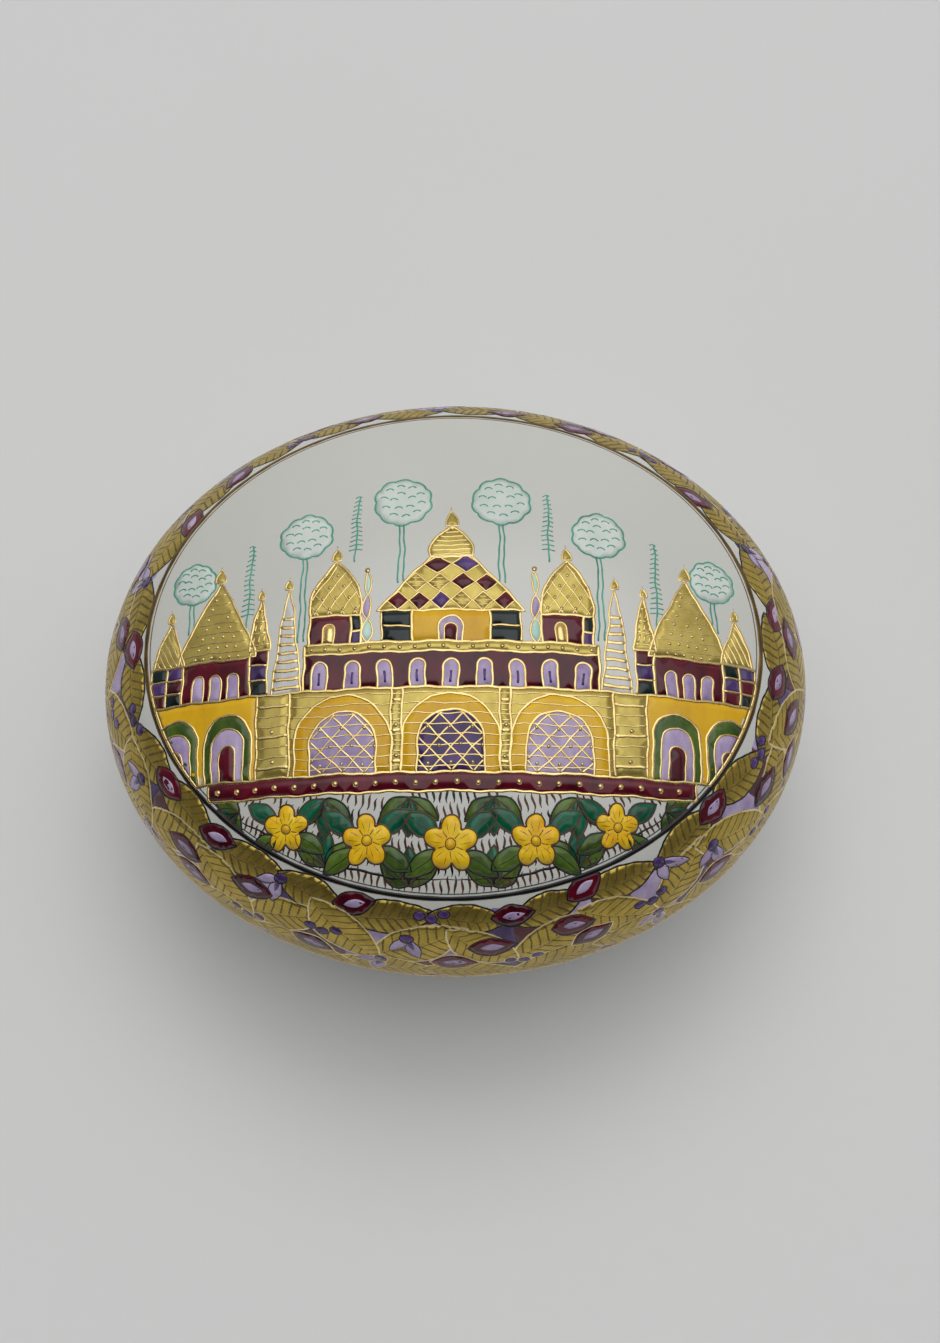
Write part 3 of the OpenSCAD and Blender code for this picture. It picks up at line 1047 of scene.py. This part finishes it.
def blossom(p, x, y, size, spin):
    """A yellow flower of five rounded petals."""
    level = 3
    turns = np.radians(spin) + np.linspace(0, TAU, 75, endpoint=False)
    reach = size * (0.52 + 0.48 * np.abs(np.cos(2.5 * (turns - np.radians(spin)))) ** 0.7)
    outline = np.stack([x + reach * np.cos(turns), y + reach * np.sin(turns)], -1)
    p.panel("bloom", outline, level, "sepia", 0.36, None)
    for k in range(5):
        a = math.radians(spin + 72 * k)
        notch = np.array([[0.24, 0], [0.50, 0]]) * size
        p.line("sepia", turned(notch, a + math.radians(36), x, y), 0.26, edge_top(level))
        for lean in (-0.13, 0.13):
            vein = np.array([[0.34, lean * 0.6], [0.54, lean], [0.74, lean * 1.3]]) * size
            p.line("sepia", turned(vein, a, x, y), 0.19, edge_top(level), taper=0.4)
    heart = ring_points(x, y, size * 0.2, size * 0.2, 10)
    p.panel("yellow", heart, level + 1, "sepia", 0.22, None)


def bud(p, x, y, degrees, length, width, level, edge):
    """A burgundy bud with a lilac heart."""
    p.panel("burgundy", petal(x, y, degrees, length, width, 12), level, edge, 0.32, None)
    a = math.radians(degrees)
    cx, cy = x + 0.26 * length * math.cos(a), y + 0.26 * length * math.sin(a)
    p.field("lilac", petal(cx, cy, degrees, length * 0.5, width * 0.34, 10), level + 0.35)


def sprig(p, x, y, degrees, reach, level, edge):
    """Two lilac petals and a purple berry."""
    p.panel("lilac", petal(x, y, degrees - 28, reach, reach * 0.42), level, edge, 0.26, None)
    p.field("purple", petal(x, y, degrees - 28, reach * 0.55, reach * 0.16), level + 0.35)
    p.panel("lilac", petal(x, y, degrees + 30, reach * 0.8, reach * 0.36), level + 0.4, edge, 0.26, None)
    p.panel("purple", ring_points(x, y, reach * 0.2, reach * 0.2, 10), level + 0.6, edge, 0.24, None)


def grass(p, reach, start, stop, colour):
    """A row of short wavy strokes that follows the frame, from one bearing to another."""
    limit_x, limit_y = FRAME_AT * reach, FRAME_AT * OVAL * reach
    count = int(math.radians(stop - start) * (limit_x + limit_y) / 2 / 0.94)
    for a in np.linspace(math.radians(start), math.radians(stop), count):
        x, y = limit_x * math.cos(a), limit_y * math.sin(a)
        size = 2.7 * rng.uniform(0.8, 1.2)
        in_x, in_y = -math.cos(a) * 0.45 * size, -math.sin(a) * OVAL * size
        if y + in_y > GROUND - 1.6:
            continue
        bend = 0.42 * (1 if rng.uniform() > 0.2 else -1)
        near = (x + in_x * 0.3 + bend, y + in_y * 0.3)
        far = (x + in_x * 0.7 - bend, y + in_y * 0.7)
        p.line(colour, bezier((x, y), near, far, (x + in_x, y + in_y), 7), 0.42, GRASS_TOP, taper=0.3)


# On each side of the garden, a leaf lies this much of a level over the one before it
LEAF_STEP = 0.09


def garden(p):
    """Flowers and leaves over short grass, the same on the left and the right."""
    for k, reach in enumerate((0.985, 0.925, 0.865, 0.805, 0.745, 0.685, 0.625)):
        grass(p, reach, 200, 340, "ink" if k % 2 else "sepia")
    # Each flower's place, size and turn, and each spray's place and heading, on the right half
    flowers = ((0, -33.0, 3.9, 90), (12.4, -32.4, 3.7, 18), (24.4, -30.2, 3.3, 90))
    sprays = ((6.2, -38.6, 90), (18.6, -35.6, 90), (6.2, -26.6, -90), (18.6, -26.6, -90), (31.6, -27.4, -15))
    for side in (-1, 1):
        stem = bezier((0, -37.6), (side * 10, -38.6), (side * 22, -34.6), (side * 33, -27.6))
        p.line("ink", stem, 0.42, STEM_TOP, taper=0.2)
        level = 0.5
        for x, y, heading in sprays:
            for lean in (-52, 52, 0):
                level += LEAF_STEP
                turn = heading + lean
                colour, edge = ("moss", "ink") if lean else ("green", "sepia")
                leaf(p, side * x, y, turn if side > 0 else 180 - turn, 5.4, 2.7, colour, edge, level, edge)
        for x, y, size, spin in flowers:
            for turn in (32, 148, 212, 328) if x else (32, 328):
                level += LEAF_STEP
                a = math.radians(turn)
                near_x, near_y = x + 0.5 * size * math.cos(a), y + 0.5 * size * math.sin(a)
                colour, edge = ("green", "sepia") if math.sin(a) > 0 else ("moss", "ink")
                leaf(p, side * near_x, near_y, turn if side > 0 else 180 - turn,
                     size * 1.6, size * 0.78, colour, edge, level, edge)
            if side > 0 or x:
                blossom(p, side * x, y, size, spin if side > 0 else 180 - spin)


def paint_picture():
    p = Paint(picture, "picture", "lid")
    garden_trees(p)
    central_hall(p)
    for x in (-17.4, 17.4):
        domed_tower(p, x, TERRACE, 7.8, 4.6, 9.2)
    for x in (-12.6, 12.6):
        minaret(p, x, TERRACE, 11.6, 1.9)
    gallery(p, -22, 22, GALLERY, TERRACE)
    for side in (-1, 1):
        quarter(p, side)
    arcade(p, GROUND, GALLERY)
    p.line("gilt", [[-46, GALLERY], [46, GALLERY]], 0.5, GOLD_TOP)
    p.line("gilt", [[-22, TERRACE], [22, TERRACE]], 0.5, GOLD_TOP)
    terrace_wall(p, 36.6, GROUND, 2.6)
    garden(p)
    return p.build()


# ------------------------------------------------------------------ borders
def border_cluster(p, u, v, kind, level, edge="ink"):
    """One small motif of the border: a bud, a sprig, berries or a small leaf."""
    spin = rng.uniform(-24, 24)
    if kind == "bud":
        bud(p, u - 3.3, v, spin, 7.0, 4.4, level, edge)
    elif kind == "sprig":
        sprig(p, u, v, 90 + spin * 2, 5.2, level, edge)
    elif kind == "berries":
        for k in range(3):
            berry = ring_points(u + 1.9 * (k - 1), v + 0.6 * math.sin(2 * k), 0.95, 0.85, 10)
            p.panel("purple", berry, level, edge, 0.22, None)
    else:
        leaf(p, u - 4.6, v, spin * 0.6, 9.4, 4.6, "leaf_gold", edge, level, "umber", 1.1, 0.32, 0.42)


def leafy_row(p, length, v, count, long, wide, slant, level, edge):
    """A row of leaves round a strip, leaning one way and the other."""
    for k in range(count):
        u = length * k / count + rng.uniform(-0.8, 0.8)
        turn = slant * (1 if k % 2 else -1) + rng.uniform(-8, 8)
        size = rng.uniform(0.92, 1.12)
        a = math.radians(turn)
        x = u - long * size / 2 * math.cos(a)
        y = v + rng.uniform(-0.5, 0.5) - long * size / 2 * math.sin(a)
        row_level = level + 0.6 * (k % 2)
        leaf(p, x, y, turn, long * size, wide * size, "leaf_gold", edge, row_level, "umber", 1.3, 0.4, 0.56)


def wash(p, length, near, far, wave, colours):
    """A painted ground under the leaves, in even stretches that take the colours in turn."""
    parts = 50
    for part in range(parts):
        us = np.linspace(length * part / parts, length * (part + 1) / parts, 8)
        edge = np.stack([us, near + wave * np.abs(np.sin(us * 0.42))], -1)
        outline = np.concatenate([edge, [[us[-1], far], [us[0], far]]])
        p.field(colours[part % len(colours)], outline, 0)


def paint_lid_border():
    p = Paint(border, "lid_border", "lid")
    length, depth = border.length, border.depth
    wash(p, length, 3.6, depth, -1.8, ("lilac", "burgundy", "lilac", "purple", "burgundy"))
    leafy_row(p, length, 3.5, 25, 13.4, 6.2, 8, 0.6, "ink")
    kinds = ("bud", "sprig", "bud", "berries", "bud")
    for k in range(25):
        border_cluster(p, length * (k + 0.5) / 25, 3.0 + 0.8 * (k % 2), kinds[k % 5], 1.8)
    leafy_row(p, length, 9.8, 30, 15.0, 7.4, 34, 1.4, "pale_gilt")
    leafy_row(p, length, 17.2, 25, 15.8, 7.4, 12, 2.5, "pale_gilt")
    kinds = ("bud", "sprig", "bud", "berries")
    for k in range(30):
        border_cluster(p, length * (k + 0.5) / 30, 13.6 + 0.7 * (k % 2), kinds[k % 4], 4, "pale_gilt")
    for k in range(25):
        kind = ("bud", "berries", "sprig", "bud")[k % 4]
        border_cluster(p, length * (k + 0.2) / 25, 8.0 + 1.8 * (k % 2), kind, 3, "ink")
    return p.build()


def paint_base_border():
    p = Paint(bowl_border, "base_border", "base")
    length, depth = bowl_border.length, bowl_border.depth
    wash(p, length, depth * 0.5, 0, 1.0, ("lilac",))
    leafy_row(p, length, 2.9, 24, 12.5, 5.0, 8, 1, "pale_gilt")
    kinds = ("bud", "leaf", "sprig", "leaf", "berries", "leaf")
    for k in range(24):
        border_cluster(p, length * k / 24, depth - 2.6, kinds[k % 6], 3)
    return p.build()


def band(surface, name, body, colour, run, half):
    """A painted line all the way round, a little uneven in width."""
    n = 720
    angle = np.linspace(0, TAU, n, endpoint=False)
    spread = np.array([1.0, 0.8, 0.0, -0.8, -1.0])
    height = np.array([-SINK, GOLD_TOP * 0.7, GOLD_TOP, GOLD_TOP * 0.7, -SINK])
    edge = half * (1 + 0.05 * (np.sin(37 * angle) + np.sin(61 * angle + 1)))
    runs = run + edge[:, None] * spread
    points = surface.at(np.repeat(angle, SECTION), runs.ravel(), np.tile(height, n))
    here = np.arange(n)
    faces = tube_faces(here, (here + 1) % n)[:, ::-1]
    obj = make_mesh(name, points, faces, True, np.full(n * SECTION, 0.5))
    obj.data.materials.append(finish_of(colour))
    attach(obj, body)
    return obj


# ------------------------------------------------------------------ pieces
def make_porcelain():
    """The lid and the base, whose faces take the materials in the order glazed, bare, gilded."""
    for maker, body, node in ((porcelain_lid, "lid", "lid"), (porcelain_base, "base", "base")):
        obj = maker()
        for material in (made_glaze, made_biscuit, finish_of("gilt_band")):
            obj.data.materials.append(material)
        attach(obj, body)
        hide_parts(node)


def hand_over(made, node):
    """Hides the model's coat that the painted pieces are drawn in place of."""
    for colour, obj in made.items():
        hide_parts(node)


def make_lines():
    """Gold bands at the seam and foot, and the dark gold oval round the picture."""
    seam_gold, frame_half = 0.62 / math.cos(WALL_LEAN), FRAME_WIDTH / 2 + 0.1
    # Each line's surface, name, body, finish, run to its middle and half width, then its coat and slot
    rows = (
        (dome, "frame_line", "lid", "bronze", frame_run, frame_half, "lid_frame_line", "line_enamel"),
        (dome, "frame_inner_line", "lid", "bronze", frame_run - 0.85, 0.09, "lid_frame_line", "line_enamel"),
        (dome, "lid_gold_edge", "lid", "gilt_band", rim_run - 0.86, 0.44, "lid_gilt_band", "gilding"),
        (wall, "base_gold_edge", "base", "gilt_band", seam_gold, 0.2, "base_gilt_band", "gilding"),
        (ring, "foot_gold_line", "base", "gilt_band", FOOT_HEIGHT - 1.75, 0.4, "foot_gilt_line", "gilding"),
    )
    for surface, name, body, colour, run, half, node, kind in rows:
        obj = band(surface, name, body, colour, run, half)
        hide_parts(node)


made_glaze = glaze()
made_biscuit = biscuit()
make_porcelain()
make_lines()
hand_over(paint_picture(), "lid_picture_enamel")
hand_over(paint_lid_border(), "lid_border_enamel")
hand_over(paint_base_border(), "base_border_enamel")


# ------------------------------------------------------------------ studio
# The camera: its angle above the table, its turn and roll, then its distance and side steps in millimetres
VIEW_UP = math.radians(69.22)
VIEW_TURN = math.radians(1.91)
VIEW_ROLL = math.radians(-1.98)
VIEW_DISTANCE = 258.75
VIEW_RIGHT = 2.52
VIEW_UP_SHIFT = 2.17
SENSOR = 36.0
LENS = 41.61


def look(away, up_angle, turn, roll, right_shift, up_shift):
    """A camera matrix that faces the rim's centre, with small side steps."""
    right = Vector((1, 0, 0))
    down = Vector((0, -math.sin(up_angle), -math.cos(up_angle)))
    ahead = Vector((0, math.cos(up_angle), -math.sin(up_angle)))
    place = right * right_shift - down * up_shift - ahead * away
    tilted_right = right * math.cos(roll) - down * math.sin(roll)
    tilted_down = right * math.sin(roll) + down * math.cos(roll)
    about_z = Matrix.Rotation(turn, 3, "Z")
    columns = [about_z @ tilted_right, about_z @ -tilted_down, about_z @ -ahead]
    matrix = Matrix(columns).transposed().to_4x4()
    matrix.translation = (about_z @ place + Vector((0, 0, SEAM))) * MM
    return matrix


def make_camera():
    data = bpy.data.cameras.new("photo_view")
    data.sensor_fit = "VERTICAL"
    data.sensor_height = data.sensor_width = SENSOR
    data.lens = LENS
    data.clip_start, data.clip_end = 0.01, 20
    camera = bpy.data.objects.new("photo_view", data)
    camera.matrix_world = look(VIEW_DISTANCE, VIEW_UP, VIEW_TURN, VIEW_ROLL, VIEW_RIGHT, VIEW_UP_SHIFT)
    bpy.context.scene.collection.objects.link(camera)
    bpy.context.scene.camera = camera


def soft_light(name, place, aim, width, height, watts, colour):
    data = bpy.data.lights.new(name, "AREA")
    data.shape = "RECTANGLE"
    data.size, data.size_y = width, height
    data.energy = watts
    data.color = colour
    lamp = bpy.data.objects.new(name, data)
    lamp.location = place
    lamp.visible_glossy = False
    lamp.rotation_euler = (Vector(aim) - Vector(place)).to_track_quat("-Z", "Y").to_euler()
    bpy.context.scene.collection.objects.link(lamp)


def make_floor():
    """A wide pale table, as rings round its middle."""
    reaches, around = (400, 1200, 4000, 20000), 64
    rings = [ring_points(0, 0, reach, reach, around) for reach in reaches]
    flat = np.concatenate([[[0, 0]], *rings])
    points = np.column_stack([flat, np.zeros(len(flat))])
    here = np.arange(around)
    then = (here + 1) % around
    faces = [np.stack([np.zeros(around, int), 1 + here, 1 + then], -1)]
    for k in range(len(reaches) - 1):
        a, b = 1 + around * k, 1 + around * (k + 1)
        faces.append(np.stack([a + here, b + here, b + then], -1))
        faces.append(np.stack([a + here, b + then, a + then], -1))
    floor = make_mesh("floor", points, np.concatenate(faces), True)
    n = Nodes("floor_paper")
    shade = n.ranged(n.noise(0.004, 3), 0.3, 0.7, 0, 1)
    n.drive(Base_Color=n.mixed(shade, (0.70, 0.695, 0.685, 1), (0.73, 0.725, 0.715, 1)))
    n.drive(Roughness=n.ranged(n.noise(0.3, 3), 0.3, 0.7, 0.6, 0.75))
    n.bump(n.noise(0.8, 3), 0.02, 0.3)
    floor.data.materials.append(n.material)


# The room: a wide soft glow overhead, and walls that brighten toward the back and a little to the right
GLOW_FROM = (0.06, 0.09, 1.0)
GLOW_EDGES = (0.60, 0.97)
ROOM_GLOW = 1.27
BRIGHT_SIDE = (0.25, 1.0, 0.0)
ROOM_EDGES = (-0.7, 0.9)
ROOM_FRONT = 0.03
ROOM_BACK = 0.40
ROOM_COLOUR = (0.97, 0.985, 1.0, 1)
BACKDROP_COLOUR = (0.56, 0.56, 0.55, 1)


def facing(tree, direction, side):
    """How squarely a direction faces a side: 1 toward it and -1 away from it."""
    node = tree.nodes.new("ShaderNodeVectorMath")
    node.operation = "DOT_PRODUCT"
    node.inputs[1].default_value = Vector(side).normalized()
    tree.links.new(direction, node.inputs[0])
    return node.outputs["Value"]


def make_room():
    """The world: soft light from the room, and a plain backdrop where the camera sees past the table."""
    world = bpy.data.worlds.new("studio")
    world.use_nodes = True
    tree = world.node_tree
    room = tree.nodes["Background"]
    room.inputs["Color"].default_value = ROOM_COLOUR
    direction = tree.nodes.new("ShaderNodeTexCoord").outputs["Generated"]
    glow = ramp(tree, facing(tree, direction, GLOW_FROM), GLOW_EDGES, (0, ROOM_GLOW), "SMOOTHERSTEP")
    walls = ramp(tree, facing(tree, direction, BRIGHT_SIDE), ROOM_EDGES, (ROOM_FRONT, ROOM_BACK))
    total = tree.nodes.new("ShaderNodeMath")
    tree.links.new(glow, total.inputs[0])
    tree.links.new(walls, total.inputs[1])
    tree.links.new(total.outputs["Value"], room.inputs["Strength"])
    plain = tree.nodes.new("ShaderNodeBackground")
    plain.inputs["Color"].default_value = BACKDROP_COLOUR
    seen = tree.nodes.new("ShaderNodeMixShader")
    tree.links.new(tree.nodes.new("ShaderNodeLightPath").outputs["Is Camera Ray"], seen.inputs[0])
    tree.links.new(room.outputs["Background"], seen.inputs[1])
    tree.links.new(plain.outputs["Background"], seen.inputs[2])
    tree.links.new(seen.outputs["Shader"], tree.nodes["World Output"].inputs["Surface"])
    return world


def make_studio():
    scene = bpy.context.scene
    scene.view_settings.view_transform = "Standard"
    scene.world = make_room()
    soft_light("key", (0.02, 0.62, 1.10), (0, 0, 0.03), 0.8, 0.6, 2.8, (1.0, 0.985, 0.96))


make_floor()
make_camera()
make_studio()
